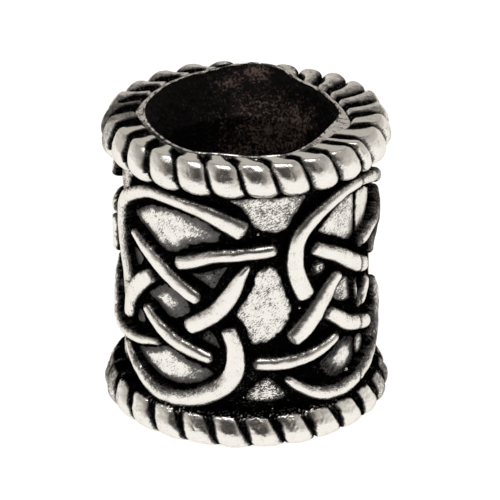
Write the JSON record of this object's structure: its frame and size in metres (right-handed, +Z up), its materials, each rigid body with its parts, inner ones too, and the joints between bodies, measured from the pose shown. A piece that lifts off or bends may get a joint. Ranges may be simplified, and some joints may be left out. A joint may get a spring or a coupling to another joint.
{
  "type": "beard bead",
  "caption": "Short cast silver tube bead with a rope rim at each mouth and a raised over-and-under interlace, for a beard or a lock of hair.",
  "frame": {"origin": "middle of the foot, on the bore's axis, in the plane that the lower rope stands on", "axes": "+Z up along the bore, -Y towards the front of the panel"},
  "size_m": [0.0142, 0.0142, 0.015],
  "materials": {
    "silver": "cast silver, polished on its high places and blackened in its recesses"
  },
  "bodies": {
    "root": {"bead": "silver"}
  },
  "joints": []
}
